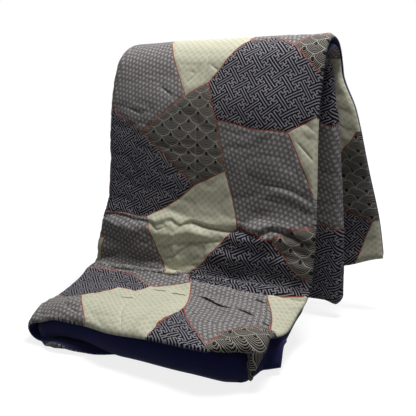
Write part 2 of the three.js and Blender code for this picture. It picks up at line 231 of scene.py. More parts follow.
def layer_path(layer, part, share, x):
    """Middle of a layer at each x, before its unevenness: y, z and slope."""
    order, rear_hem = LAYERS[layer][:2]
    offset = CLOTH / 2 + PITCH * order
    one = np.ones_like(x)
    if part == "front":
        reach, legs = front_at(layer, x)
        return walk(ANCHOR_Y, CLOTH_BASE + offset, legs, reach * (1 - share))
    if part == "seat":
        y, z, heading = lerp(ANCHOR_Y, BEND_Y, share), CLOTH_BASE + offset, 0
    elif part in ("bend", "back"):
        heading = SEAT_TURN * share if part == "bend" else SEAT_TURN
        radius = BEND_RADIUS - offset
        along = BACK_LENGTH * share if part == "back" else 0
        y = BEND_Y + radius * math.sin(heading) + along * math.cos(heading)
        z = BEND_Z - radius * math.cos(heading) + along * math.sin(heading)
    elif part == "top":
        heading = SEAT_TURN - TOP_TURN * share
        radius = TOP_RADIUS + offset
        y, z = TOP_Y - radius * math.sin(heading), TOP_Z + radius * math.cos(heading)
    else:
        high, low = HEM_RISE * smooth(x, *HEM_RISE_AT), LOW_HEM_RISE * (1 - smooth(x, *LOW_HEM_AT))
        rise = high if order >= 2 else low
        y, z, heading = TOP_Y + TOP_RADIUS + offset, lerp(TOP_Z, rear_hem + rise, share), -math.pi / 2
    return y * one, z * one, heading * one


def swelling(x, run, layer):
    """How far the first or the second layer stands out from its plain path."""
    total = np.zeros_like(x)
    for at, below, above, left, between, right, second in SWELLINGS:
        narrow = above < NARROW
        shift = narrow * (8 * np.sin(x / 47 + at) + 5 * np.sin(x / 21 + 2 * at))
        t = (run - at - shift) / np.where(run < at + shift, below, above)
        height = lerp(left, between, smooth(x, *SWELL_LEFT))
        height = lerp(height, right, smooth(x, *SWELL_RIGHT))
        height *= 1 + narrow * 0.45 * np.sin(x / 58 + 3 * at)
        total += height * np.maximum(1 - t * t, 0) ** 2 * (1 if layer == "first" else second)
    return total


def sag_depth(x, run, share):
    """How far the margins beside the seat droop."""

    def margin(share, drop, low, high, full, none):
        return drop * share * smooth(x, low, high) * (1 - smooth(run, full, none))

    return margin(1, *LEFT_SAG) + margin(share, *RIGHT_SAG) * smooth(run, *RIGHT_SAG_FADE)


def hang_corner(p):
    """Turns what lies past the slanted line at the seat's right corner down over a round edge."""
    step = np.subtract(CORNER_TO, CORNER_FROM)
    out_x, out_y = np.array([-step[1], step[0]]) / np.hypot(*step)
    past = (p[:, 0] - CORNER_FROM[0]) * out_x + (p[:, 1] - CORNER_FROM[1]) * out_y
    most = math.radians(CORNER_ANGLE)
    angle = np.clip(past / CORNER_RADIUS, 0, most)
    rest = np.maximum(past - CORNER_RADIUS * most, 0)
    out = np.where(past > 0, CORNER_RADIUS * np.sin(angle) + rest * math.cos(most) - past, 0)
    p[:, 0] += out * out_x
    p[:, 1] += out * out_y
    p[:, 2] -= CORNER_RADIUS * (1 - np.cos(angle)) + rest * math.sin(most)


def layer_points(layer, part, share, run, x):
    """The layer's middle at one station."""
    order, _, sag = LAYERS[layer]
    y, z, heading = layer_path(layer, part, share, x)
    raised = swelling(x, run, layer) if order >= 2 else 0
    y = y - raised * np.sin(heading)
    z = z + raised * np.cos(heading) - sag_depth(x, run, sag)
    if order >= 2:
        width = lerp(FLARE_LEFT_SHARE, 1, smooth(x, FLARE_LEFT, FLARE_RIGHT))
        y = y + FLARE_BACK * width * smooth(run, FLARE_START, REAR_START + REAR_RUN)
    p = np.stack([x, y, z], 1)
    if layer == "first":
        hang_corner(p)
    p[:, 2] = np.maximum(p[:, 2], CLOTH / 2 + REST_GAP)
    return p


def wrap_points(a, b, half, steps, side, power=1):
    """Points between two layers' edges, round a half turn that bulges to one side. A low power squares it."""
    angle = (math.pi * np.arange(1, steps) / steps)[:, None]
    p = lerp(a, b, (1 - np.cos(angle)) / 2)
    p[:, 0] += (side * half * np.sin(angle) ** power)[:, 0]
    return p


OUTER_HALF, INNER_HALF = 3 * PITCH / 2, PITCH / 2
CREST_RUN, CREST_REACH = 800, 220  # the outer wrap is squarer about the crest
# Columns in each band of a section, in the order in which the cloth runs.
COLUMNS = {"first": 110, "outer": 20, "fourth": 50, "fold": 10, "third": 50, "inner": 10, "second": 100}


def section(part, share, run):
    """The whole folded section at one station, from the first layer's hem to the second layer's."""
    left, right, first_hem, second_hem = (read_edges(k, run) for k in (1, 2, 3, 4))
    outer_left = left + OUTER_HALF + CLOTH / 2
    inner_left = left + PITCH + WRAP_GAP + INNER_HALF + CLOTH / 2
    right_fold = right - INNER_HALF - CLOTH / 2
    squareness = 1 - 0.5 * max(0, 1 - abs(run - CREST_RUN) / CREST_REACH)

    def row(layer, a, b):
        return layer_points(layer, part, share, run, np.linspace(a, b, COLUMNS[layer]))

    first = row("first", first_hem, outer_left)
    fourth = row("fourth", outer_left, right_fold)
    third = row("third", right_fold, inner_left)
    second = row("second", inner_left, second_hem)
    return np.concatenate([
        first,
        wrap_points(first[-1], fourth[0], OUTER_HALF, COLUMNS["outer"], -1, squareness),
        fourth,
        wrap_points(fourth[-1], third[0], INNER_HALF, COLUMNS["fold"], 1),
        third,
        wrap_points(third[-1], second[0], INNER_HALF, COLUMNS["inner"], -1),
        second,
    ])


STATION_STEP = 6
sections = []
start = -FRONT_RUN
for part, length in RUNS.items():
    count = math.ceil(length / STATION_STEP)
    for k in range(count + (part == "rear")):
        sections.append(section(part, k / count, start + length * k / count))
    start += length
middle = np.array(sections) / 1000  # [station, column] in metres from here on

# ---------------- flat coordinates of that surface
across = np.linalg.norm(np.diff(middle, axis=1), axis=2)
u_of_column = np.concatenate([[0], np.cumsum(across.mean(axis=0))])
steps = np.linalg.norm(np.diff(middle, axis=0), axis=2)
along = np.concatenate([np.zeros((1, middle.shape[1])), np.cumsum(steps, axis=0)])
LENGTH = 1.7
WIDTH = float(u_of_column[-1])
v_of = along * (LENGTH / along[-1])
# The filling between seat and back takes up a little of the outer layer's length, less so at its edges.
column = np.arange(middle.shape[1])
TAKEN_LENGTH = 0.0135
taken_share = smooth(column, 0, 40) * (1 - 0.2 * smooth(column, 60, 110)) * (1 - smooth(column, 110, 128))
v_of += TAKEN_LENGTH * smooth(v_of, 0.22, 0.40) * (1 - smooth(v_of, 0.95, 1.5)) * taken_share

# What hangs below the front of the slanted edge turns inwards about an upright line, once the flat
# coordinates are known.
edge = np.subtract(CORNER_FROM, CORNER_TO) / 1000
back_x, back_y = edge / np.hypot(*edge)
for k in range(COLUMNS["first"]):
    p = middle[:, k]
    from_x, from_y = (p[:, i] - CORNER_TO[i] / 1000 for i in (0, 1))
    past = from_x * back_y - from_y * back_x
    along_edge = from_x * back_x + from_y * back_y
    drop = np.where((past > 0) & (p[:, 1] < 0), SEAT_TOP - p[:, 2], 0)
    left = np.maximum(TUCK_REACH - along_edge, 0) * smooth(drop, 0.004, 0.026)
    tucked, inward = left * (1 - math.cos(TUCK_TURN)), left * math.sin(TUCK_TURN)
    p[:, 0] += tucked * back_x - inward * back_y
    p[:, 1] += tucked * back_y + inward * back_x


class Cloth:
    """The middle surface of the cloth and its normals, read anywhere by flat coordinates."""

    STEP_U, STEP_V = 0.004, 0.005

    def __init__(self, points, u_at, v_at):
        self.nu = round(WIDTH / self.STEP_U) + 1
        self.nv = round(LENGTH / self.STEP_V) + 1
        even_v = np.linspace(0, LENGTH, self.nv)
        even_u = np.linspace(0, WIDTH, self.nu)
        self.points = np.empty((self.nv, self.nu, 3))
        for axis in range(3):
            lines = zip(v_at.T, points[:, :, axis].T)
            by_v = np.stack([np.interp(even_v, at, line) for at, line in lines], 1)
            self.points[:, :, axis] = [np.interp(even_u, u_at, row) for row in by_v]
        along_u, along_v = np.gradient(self.points, axis=1), np.gradient(self.points, axis=0)
        normals = np.cross(along_v, along_u)
        self.normals = normals / np.linalg.norm(normals, axis=2, keepdims=True)

    def read(self, grid, uv):
        x = np.clip(uv[:, 0] / WIDTH * (self.nu - 1), 0, self.nu - 1.001)
        y = np.clip(uv[:, 1] / LENGTH * (self.nv - 1), 0, self.nv - 1.001)
        j, i = x.astype(int), y.astype(int)
        s, t = (x - j)[:, None], (y - i)[:, None]
        low = lerp(grid[i, j], grid[i, j + 1], s)
        return lerp(low, lerp(grid[i + 1, j], grid[i + 1, j + 1], s), t)

    def at(self, uv):
        normal = self.read(self.normals, uv)
        return self.read(self.points, uv), normal / np.linalg.norm(normal, axis=1, keepdims=True)


cloth = Cloth(middle, u_of_column, v_of)

# ---------------- the patchwork
# Patches of one panel, PANEL metres wide. The cloth has four such panels side by side, and every second one
# is turned by half a turn. Places on the flat cloth are millimetres in the tables.
PANEL = 0.62
CORNERS = {}
for row in rows_of("""
# the seat, from the front hem
h1 660 -20  h2 433 -20  h3 270 -20  h4 125 -20  h5 -30 -20  e1 660 155  e2 513 108  k1 457 199
k2 398 221  e3 385 261  e4 480 294  e5 660 300  f1 280 311  f2 230 155  f3 125 15  f4 95 75
f5 70 110  f6 20 170  f7 -30 130  f8 50 260  f9 87 332  g1 -30 380
# the back, from the seat upwards
b1 363 321  b2 318 371  m1 178 334  m2 295 324  b3 -30 390  b4 45 425  b5 105 490  b6 -30 555
b7 200 519  b8 470 496  b9 660 500  b0 -20 565  c1 335 610  c2 243 655  c3 271 782  c4 73 753
c5 -30 825  c6 499 730  c7 603 790  c8 660 800  c9 369 843  d1 307 878  d2 -30 890  d3 40 935
d4 85 970  d5 145 1015  d6 220 1005  d7 475 1010  d8 40 1020  d9 -30 1035
# over the top and down the rear
r1 490 1100  r2 660 1160  r3 360 1170  r4 240 1090  r5 170 1220  r6 -30 1160  r7 400 1360
r8 660 1330  r9 140 1420  s1 270 1470  s2 -30 1500  s3 420 1600  s4 660 1560  s5 380 1720
s6 70 1720  s7 -30 1720  s8 660 1720
"""):
    CORNERS.update(zip(row[::3], zip(row[1::3], row[2::3])))
PANEL_PATCHES = rows_of("""
asanoha h1 e1 e2 h2
sayagata e1 e5 e4 e3 k2 k1 e2
cream h2 e2 k1 k2 e3 f1 f2 h3
sayagata h3 f2 f3 h4
seigaiha h4 f3 f4 f5 f6 f7 h5
cream f7 f6 f8 f9 g1
asanoha e3 e4 b1 b2 m2 m1 f9 f8 f6 f5 f4 f3 f2 f1
asanoha e5 b9 b8 b1 e4
cream b1 b8 c1 c2 b7 b2
sayagata b2 b7 b5 b4 b3 g1 f9 m1 m2
seigaiha b3 b4 b5 b6
asanoha b6 b5 b7 c2 c3 c4 b0
cream b0 c4 c5
sayagata b9 c8 c7 c6 c1 b8
seigaiha c1 c6 c9 d1 c3 c2
sayagata c3 d1 d6 d5 d4 d3 d2 c5 c4
seigaiha d2 d3 d4 d8 d9
asanoha c8 r2 r1 d7 c9 c6 c7
cream c9 d7 r1 r3 r4 d6 d1
asanoha d6 r4 r3 r5 r6 d9 d8 d4 d5
sayagata r1 r2 r8 r7 r3
seigaiha r3 r7 s1 r9 r5
cream r5 r9 s2 r6
cream r8 s4 s3 s1 r7
sayagata s2 r9 s1 s3 s5 s6
asanoha s4 s8 s5 s3
seigaiha s2 s6 s7
""")
# Patches that differ from the panels: at the outer wrap, the right fold and the second layer's hem.
OTHER_PATCHES = rows_of("""
cream 618 790 616 870 740 920 740 760
cream 610 310 600 420 740 450 740 300
sayagata 1080 970 1380 970 1380 1220 1080 1190
asanoha 1080 1190 1380 1220 1380 1500 1080 1480
sayagata 1080 1480 1380 1500 1380 1720 1080 1720
asanoha 2200 980 2460 980 2460 1085 2200 1085
cream 2200 1085 2460 1085 2460 1280 2340 1440 2200 1480
seigaiha 2200 1480 2340 1440 2460 1280 2460 1580 2430 1585 2340 1540 2200 1520
sayagata 2200 1520 2340 1540 2430 1585 2360 1720 2200 1720
cream 2430 1585 2460 1580 2460 1720 2360 1720
""")
KINDS = ["asanoha", "sayagata", "seigaiha", "cream", "seam", "backing"]


def points_of(line):
    """Points in metres of a flat list of places in millimetres."""
    return np.reshape(line, (-1, 2)) / 1000


def sides(points):
    """The pairs of neighbours round a closed line."""
    return list(zip(points, np.roll(points, -1, axis=0)))


def inside(uv, polygon):
    """Which points lie in a polygon."""
    found = np.zeros(len(uv), bool)
    x, y = uv[:, 0], uv[:, 1]
    for (x0, y0), (x1, y1) in sides(polygon):
        if y0 != y1:
            found ^= ((y0 > y) != (y1 > y)) & (x < (x1 - x0) * (y - y0) / (y1 - y0) + x0)
    return found


def in_panel(uv):
    """Coordinates in the panel that each point lies in."""
    panel = np.clip(np.floor(uv[:, 0] / PANEL), 0, 3)
    turned = panel % 2 == 1
    x, y = uv[:, 0] - panel * PANEL, uv[:, 1]
    return np.stack([np.where(turned, PANEL - x, x), np.where(turned, LENGTH - y, y)], 1)


def kind_at(uv):
    """Index in KINDS of the patch at each point."""
    kind = np.zeros(len(uv), int)
    left = np.ones(len(uv), bool)
    local = in_panel(uv)
    patches = [(uv, name, line) for name, *line in OTHER_PATCHES]
    patches += [(local, name, [CORNERS[c] for c in names]) for name, *names in PANEL_PATCHES]
    for points, name, line in patches:
        hit = left & inside(points, points_of(line))
        kind[hit] = KINDS.index(name)
        left &= ~hit
    return kind


SEAM_HALF = 0.0014
SEAM_SAMPLE, SEAM_STEP = 0.001, 7  # every seventh sample is a point of the mesh
SEAM_MARGIN = 0.004  # none nearer to the cloth's edge
SEAM_SIDE = 0.003  # how far aside the two patches are told apart
SEAM_CELL, SHORTEST_SEAM = 0.002, 6  # one seam to a cell, and more samples than this to a run
HIDDEN_SEAM = {"m2", "m1", "f9"}  # it lies in the crease between seat and back


def seam_edges():
    """Every edge that may be a seam, in flat coordinates, each once."""
    edges = []
    for _, *line in OTHER_PATCHES:
        edges += sides(points_of(line))
    for panel in range(4):
        for _, *names in PANEL_PATCHES:
            place = points_of([CORNERS[c] for c in names])
            place = ((PANEL, LENGTH) - place if panel % 2 else place) + (panel * PANEL, 0)
            edges += [ends for ends, pair in zip(sides(place), sides(names)) if not HIDDEN_SEAM >= set(pair)]
        edges.append((((panel + 1) * PANEL, 0), ((panel + 1) * PANEL, LENGTH)))
    once = {}
    for a, b in edges:
        once.setdefault(tuple(sorted(map(tuple, np.round([a, b], 4)))), (a, b))
    return list(once.values())


def seams():
    """Runs of points along the seams, where the patches on both sides differ."""
    runs, taken = [], set()
    for a, b in seam_edges():
        a, b = np.array([a, b], float)
        length = np.linalg.norm(b - a)
        count = max(int(length / SEAM_SAMPLE), 2)
        line = a + (b - a) * np.linspace(0, 1, count + 1)[:, None]
        side = np.array([-(b - a)[1], (b - a)[0]]) / length * SEAM_SIDE
        keep = np.all((line > SEAM_MARGIN) & (line < np.subtract((WIDTH, LENGTH), SEAM_MARGIN)), axis=1)
        keep &= kind_at(line + side) != kind_at(line - side)
        cells = np.round(line / SEAM_CELL).astype(int)
        keep &= [tuple(cell) not in taken for cell in cells]
        for x, y in cells[keep]:
            taken.update((x + i, y + j) for i in (-1, 0, 1) for j in (-1, 0, 1))
        ends = np.flatnonzero(np.diff(np.concatenate([[0], keep, [0]])))
        found = [line[i:j] for i, j in zip(ends[::2], ends[1::2]) if j - i > SHORTEST_SEAM]
        runs += [(run, side / SEAM_SIDE) for run in found]
    return runs


seam_runs = seams()
seam_samples = np.concatenate([run for run, _ in seam_runs])


def distance_to(samples, uv):
    """Distance from each point to the nearest of the samples."""
    tree = KDTree(len(samples))
    for k, (x, y) in enumerate(samples):
        tree.insert((x, y, 0), k)
    tree.balance()
    return np.array([tree.find((x, y, 0))[2] for x, y in uv])


# ---------------- the cloth's two faces as one mesh
FINE = 0.0058  # spacing of the patterned side's lattice where it is seen close
BACKING_SPACING = 0.019
BORDER_SPACING = 0.006
ROW_SPACING = 0.866  # of a lattice's rows, as a share of its points' spacing
CLEAR_OF_CREASE, CLEAR_OF_SEAM = 0.0026, 0.0032
# Bands of u with every point of the lattice, and with every second one; the hidden rest keeps every third.
FINE_BANDS = [(0, 0.70), (1.19, 1.30), (2.30, WIDTH)]
MEDIUM_BANDS = [(1.10, 1.40), (1.74, 1.87), (2.15, WIDTH)]
HALF_THICK, HEM_HALF, HEM_TAPER, RIM_OUT = 0.008, 0.0045, 0.016, 0.004


def in_bands(u, bands):
    return np.any([(u >= low) & (u <= high) for low, high in bands], axis=0)


def lattice(spacing, thinned=False):
    """Points over the flat cloth, every second row shifted by half a step."""
    rows, columns = int(LENGTH / (spacing * ROW_SPACING)), int(WIDTH / spacing)
    i, j = np.meshgrid(np.arange(1, rows), np.arange(1, columns), indexing="ij")
    u = (j + 0.25 + 0.5 * (i % 2)) * WIDTH / (columns + 0.5)
    v = i * LENGTH / rows
    keep = (u < WIDTH - spacing * 0.5) & (u > spacing * 0.5)
    if thinned:
        medium = in_bands(u, MEDIUM_BANDS) & (i % 2 == 0) & (j % 2 == 0)
        keep &= in_bands(u, FINE_BANDS) | medium | ((i % 3 == 0) & (j % 3 == 0))
    return np.stack([u[keep], v[keep]], 1)


def border():
    """Points round the flat cloth's edge, in order."""
    us, vs = (np.linspace(0, size, round(size / BORDER_SPACING) + 1) for size in (WIDTH, LENGTH))
    right, left = [(WIDTH, v) for v in vs[:-1]], [(0, v) for v in vs[:0:-1]]
    return np.array([(u, 0) for u in us[:-1]] + right + [(u, LENGTH) for u in us[:0:-1]] + left)


def triangulated(points, chains):
    """Delaunay triangles through the points, the border's first, that keep the chains' segments."""
    count = len(border_points)
    verts = [Vector(p) for p in points]
    edges = [(k, (k + 1) % count) for k in range(count)]
    for chain in chains:
        edges += [(len(verts) + k, len(verts) + k + 1) for k in range(len(chain) - 1)]
        verts += [Vector(p) for p in chain]
    found = delaunay_2d_cdt(verts, edges, [list(range(count))], 1, 1e-6)
    return np.array([tuple(p) for p in found[0]]), np.array(found[2])


border_points = border()


def pattern_side():
    """Flat points, faces and kinds of the patterned side, with its seams as strips between two chains."""
    creases = crease_points()
    points = lattice(FINE, thinned=True)
    points = points[distance_to(creases, points) > CLEAR_OF_CREASE]
    points = np.concatenate([points, creases])
    points = points[distance_to(seam_samples, points) > CLEAR_OF_SEAM]
    chains = []
    for run, across_run in seam_runs:
        spine = run[np.unique(np.append(np.arange(0, len(run), SEAM_STEP), len(run) - 1))]
        chains += [spine + across_run * SEAM_HALF, spine - across_run * SEAM_HALF]
    uv, faces = triangulated(np.concatenate([border_points, points]), chains)
    centre = uv[faces].mean(axis=1)
    kind = kind_at(centre)
    kind[distance_to(seam_samples, centre) < SEAM_HALF * 0.95] = KINDS.index("seam")
    return uv, faces, kind


def from_edge(uv):
    """Distance to the nearest edge of the flat cloth."""
    return np.min([uv[:, 0], WIDTH - uv[:, 0], uv[:, 1], LENGTH - uv[:, 1]], axis=0)


def half_thickness(uv):
    t = np.clip(from_edge(uv) / HEM_TAPER, 0, 1)
    return HEM_HALF + (HALF_THICK - HEM_HALF) * np.sqrt(t * (2 - t))


# ---------------- folds, puckers and seams of the patterned side
# Folds of the outer layer's front: whether it is sharp or soft, or a step, where the cloth on the far side
# stands over a crease; half width and height, below 0 for a valley; and the points it follows.
FOLDS = rows_of("""
# the lower back, under the overhang
sharp 9 -2.2 620 440 520 420 460 435
soft 11 3.5 620 465 520 455 450 465
soft 14 4 610 315 540 325 440 330
soft 9 4.5 425 460 355 478 260 482
sharp 8 -6 440 425 370 452 280 468 230 475
sharp 8 -5.5 420 405 380 415 345 437 320 462
sharp 7 -4.5 288 460 282 420
soft 8 3 385 475 370 440 350 400
sharp 4 -2.5 455 482 430 468 400 487
soft 10 3 610 475 560 455 500 452
sharp 8 -2.5 600 440 550 410 500 405
sharp 3 -2 323 400 329 370
sharp 3 -1.6 340 385 335 360
sharp 8 -3 300 418 225 412 180 430
soft 11 3.5 290 440 220 437 150 455
soft 8 2.5 190 492 125 490 60 500
sharp 7 -3 100 458 15 476
sharp 8 -2.5 115 420 55 407 0 420
soft 9 3 100 440 40 435 0 445
# the right of the back
sharp 6 -2.6 137 633 68 618 0 600
sharp 6 -3 85 590 0 565
sharp 6 -2 140 600 90 582
soft 9 2.6 120 615 0 583
sharp 5 -2.4 50 735 0 695
sharp 5 -2.4 35 672 0 625
sharp 6 -1.8 45 790 0 765
# the upper back
sharp 4 -2.2 315 924 284 909
sharp 5 -1.8 374 873 353 900 349 927
sharp 4 -1.4 378 906 353 900
sharp 4 -2.2 455 861 409 836
sharp 5 -1.6 540 790 500 770
sharp 5 -1.4 300 880 253 840
sharp 7 -2 610 627 535 590
sharp 5 -1.4 460 703 407 700
# the seat
step 5 8 240 253 212 247 191 237 156 220 126 217
step 4 6 122 219 92 211 70 203
step 4 5 105 298 75 289
step 4 4 48 186 30 196
sharp 3 -2 460 12 420 18
sharp 3 -2 380 14 358 22
sharp 6 -6 272 10 250 60 235 135
soft 13 4 305 0 285 60 262 140
step 4 3 370 245 323 250
step 4 3.5 310 236 258 240
sharp 5 -3.5 525 48 480 23
step 4 2.5 420 155 370 162
sharp 5 -2.5 600 30 582 70
sharp 6 -3.5 56 342 0 328
sharp 5 -2.5 30 319 0 300
# the quilting stitch down the middle
sharp 2 -1.3 325 980 330 650 332 520
sharp 2.5 -2.2 383 250 382 190 364 96 338 0
""")
# The back hangs a little over its lowest part along this line, and the seat meets the back along the other.
OVERHANG, JUNCTION = rows_of("""
630 492 530 490 470 485 435 481 395 505 360 493 330 510 285 506 230 505 200 521 150 511 105 514 60 504 -10 503
640 335 611 350 560 375 517 388 460 392 408 388 360 372 318 355 285 336 225 333 155 334 89 336 35 346 -10 356
""")


def bell(value, width):
    return np.exp(-((value / width) ** 2))


def along_line(uv, line):
    """Distance to a line of points, signed by its side (above is positive), and how far along it, 0 to 1."""
    line = points_of(line)
    lengths = np.linalg.norm(np.diff(line, axis=0), axis=1)
    total, start = lengths.sum(), 0.0
    best = np.full(len(uv), np.inf)
    side, share = np.zeros(len(uv)), np.zeros(len(uv))
    for a, b, length in zip(line, line[1:], lengths):
        step = (b - a) / length
        t = np.clip((uv - a) @ step, 0, length)
        away = uv - (a + t[:, None] * step)
        distance = np.linalg.norm(away, axis=1)
        nearer = distance < best
        best = np.where(nearer, distance, best)
        cross = (step[0] * away[:, 1] - step[1] * away[:, 0]) * (-1 if step[0] < 0 else 1)
        side = np.where(nearer, np.where(cross >= 0, 1.0, -1.0), side)
        share = np.where(nearer, (start + t) / total, share)
        start += length
    return side * best, share


def noise(uv, cells_u, cells_v, seed):
    """Smooth noise from -1 to 1, with so many cells to the metre each way."""
    table = np.random.default_rng(seed).uniform(-1, 1, (64, 64))
    x, y = uv[:, 0] * cells_u + 100, uv[:, 1] * cells_v + 100
    j, i = np.floor(x).astype(int), np.floor(y).astype(int)
    s, t = ease(x - j), ease(y - i)

    def value(di, dj):
        return table[(i + di) % 64, (j + dj) % 64]

    return lerp(lerp(value(0, 0), value(0, 1), s), lerp(value(1, 0), value(1, 1), s), t)


def warp_at(uv):
    """Small shifts that keep folds from running straight."""
    return np.stack([noise(uv, 12, 12, 1), noise(uv, 12, 12, 2)], 1) * 0.006


CREASE_SPACING, CREASE_MARGIN, LONG_CREASE_HALF = 0.0045, 0.003, 0.008


def crease_points():
    """Points along the sharp folds, so that the mesh can follow them."""
    found = []
    lines = [(line, half / 1000) for kind, half, _, *line in FOLDS if kind != "soft"]
    lines += [(OVERHANG, LONG_CREASE_HALF), (JUNCTION, LONG_CREASE_HALF)]
    for line, half in lines:
        line = points_of(line)
        at = np.concatenate([[0], np.cumsum(np.linalg.norm(np.diff(line, axis=0), axis=1))])
        steps = np.linspace(0, at[-1], max(int(at[-1] / CREASE_SPACING), 2))
        spine = np.stack([np.interp(steps, at, line[:, k]) for k in (0, 1)], 1)
        ahead = np.gradient(spine, axis=0)
        ahead /= np.linalg.norm(ahead, axis=1, keepdims=True)
        aside = np.stack([-ahead[:, 1], ahead[:, 0]], 1)
        for offset in (-0.8, -0.35, 0, 0.35, 0.8):
            found.append(spine + aside * half * offset)
    points = np.concatenate(found)
    points = points - warp_at(points)
    return points[from_edge(points) > CREASE_MARGIN]


# Heights in metres: soft unevenness, and puckers by themselves, at the seams and at the hems.
SOFT, SMALL, PINCHED, SEAM_SUNK, SEAM_PUCKER, HEM_PUCKER = 0.0026, 0.0015, 0.0032, 0.0016, 0.0009, 0.0022
OVERHANG_HEIGHT, OVERHANG_PUCKER = 0.0065, 0.0035
CREASE_DEPTH, ROLL_BELOW, ROLL_ABOVE = 0.009, 0.004, 0.003
FOLD_SHARE = 1.3  # of the heights in FOLDS
# The layers lie on each other up to STACKED_TO along the cloth. Across it the outer layer ends at OUTER_TO,
# and the right fold is free.
STACKED_TO = 1.15
OUTER_TO, FOLD_FROM, FOLD_TO = 0.70, 1.22, 1.28
ROOM_AT_CHAIR, ROOM_BETWEEN = 0.0002, 0.0023
LIP_AT, LIP_WIDTH = 0.0018, 0.0028  # of a step's upper lip and its foot
# Wrinkles of the crumpled band: the turn of their grain, their cells to the metre, seed and depth.
CRUMPLES = [(0.30, (7, 22), 11, 0.0042), (-0.22, (9, 30), 12, 0.0036), (0.9, (10, 24), 13, 0.0026)]


def relief(uv):
    """How far the patterned side stands out from the plain thickness, in metres."""
    u, v = uv.T
    bent = uv + warp_at(uv)
    # soft unevenness of the filling, and pinched puckers
    calm = 1 - 0.35 * smooth(v, 0.50, 0.56) - 0.3 * smooth(v, 0.74, 0.86)
    height = SOFT * noise(bent, 7, 9, 3) + SMALL * calm * noise(bent, 17, 26, 4)
    pinch = 1 - np.abs(noise(bent, 14, 34, 5))
    height -= PINCHED * calm * np.maximum(pinch - 0.72, 0) / 0.28
    # seams sink, and the cloth puckers beside them
    seam = distance_to(seam_samples, uv)
    height += -SEAM_SUNK * bell(seam, 0.0035) + SEAM_PUCKER * noise(uv, 60, 60, 6) * bell(seam, 0.014)
    # the hems pucker too
    hem = from_edge(uv)
    height += HEM_PUCKER * noise(uv, 22, 22, 7) * bell(hem, 0.035) * np.clip(hem / 0.006, 0, 1)
    front = np.clip((0.66 - u) / 0.04, 0, 1) * np.clip((1.12 - v) / 0.1, 0, 1)
    for kind, half, top, *line in FOLDS:
        side, share = along_line(bent, line)
        t = np.abs(side) / (half / 1000)
        ends = np.clip(np.minimum(share, 1 - share) * 4, 0, 1)
        ends = np.where(np.abs(side) > 6 * half / 1000, 0, 0.25 + 0.75 * ends)
        if kind == "step":
            shape = np.exp(-0.7 * t) * np.clip(side / 0.0015, -1, 1) / 2
        else:
            shape = np.exp(-1.5 * t) if kind == "sharp" else bell(t, 1)
        height += front * FOLD_SHARE * top / 1000 * shape * ends
    # the overhang: a roll above the line, a drop at it, and puckers below it
    side, _ = along_line(bent, OVERHANG)
    rise = np.where(side > 0, bell(side - 0.010, 0.026) * OVERHANG_HEIGHT, 0)
    drop = -OVERHANG_HEIGHT * bell(side, np.where(side <= 0, 0.011, 0.0022))
    at_left = 1 - 0.45 * smooth(u, 0.30, 0.36)
    below = ease(np.clip(1 - np.abs(side + 0.022) / 0.024, 0, 1))
    puckers = below * OVERHANG_PUCKER * (1 - 1.8 * np.abs(noise(bent, 30, 9, 8)))
    height += front * at_left * (rise + drop + puckers)
    # the crumpled band between the overhang and the seat
    crumpled = smooth(v, 0.37, 0.41) * (1 - smooth(v, 0.49, 0.505)) * front
    crumpled *= 1 - 0.3 * smooth(u, 0.30, 0.36)
    for turn, cells, seed, size in CRUMPLES:
        c, s = math.cos(turn), math.sin(turn)
        turned = np.stack([u * c - v * s, u * s + v * c], 1)
        ridge = np.maximum(1 - 2.4 * np.abs(noise(turned, *cells, seed)), 0) ** 1.5
        height += crumpled * size * (0.45 - ridge)
    # the seat rolls up to the back and leaves a deep crease
    side, _ = along_line(bent, JUNCTION)
    deep = np.clip(1 - u / 0.6, 0.45, 1)
    crease = -CREASE_DEPTH * deep * np.exp(-np.abs(side) / 0.007)
    roll = ROLL_BELOW * bell(side + 0.028, 0.022) + ROLL_ABOVE * deep * bell(side - 0.022, 0.016)
    height += front * (crease + roll)
    # Where layers lie on each other or on the chair, there is only so much room.
    room = np.where(u > FOLD_TO, ROOM_BETWEEN, np.inf)
    room = np.where((u > OUTER_TO) & (u < FOLD_FROM), ROOM_AT_CHAIR, room)
    height = np.where(v < STACKED_TO, np.minimum(height, room), height)
    return np.maximum(height * np.clip(hem / 0.01, 0, 1), -1.5 * half_thickness(uv))


def leaned(uv):
    """Flat coordinates shifted where a step's upper lip leans out over its foot."""
    shift = np.zeros(len(uv))
    bent = uv + warp_at(uv)
    for kind, _, top, *line in FOLDS:
        if kind == "step":
            side, share = along_line(bent, line)
            ends = np.clip(np.minimum(share, 1 - share) * 5, 0, 1) * (np.abs(side) < 0.012)
            lip = bell(side - LIP_AT, LIP_WIDTH) * (side > 0)
            foot = bell(side + LIP_AT, LIP_WIDTH) * (side <= 0)
            shift += ends * top / 8 * (0.0045 * lip - 0.0035 * foot)
    return uv - np.stack([0 * shift, shift], 1)


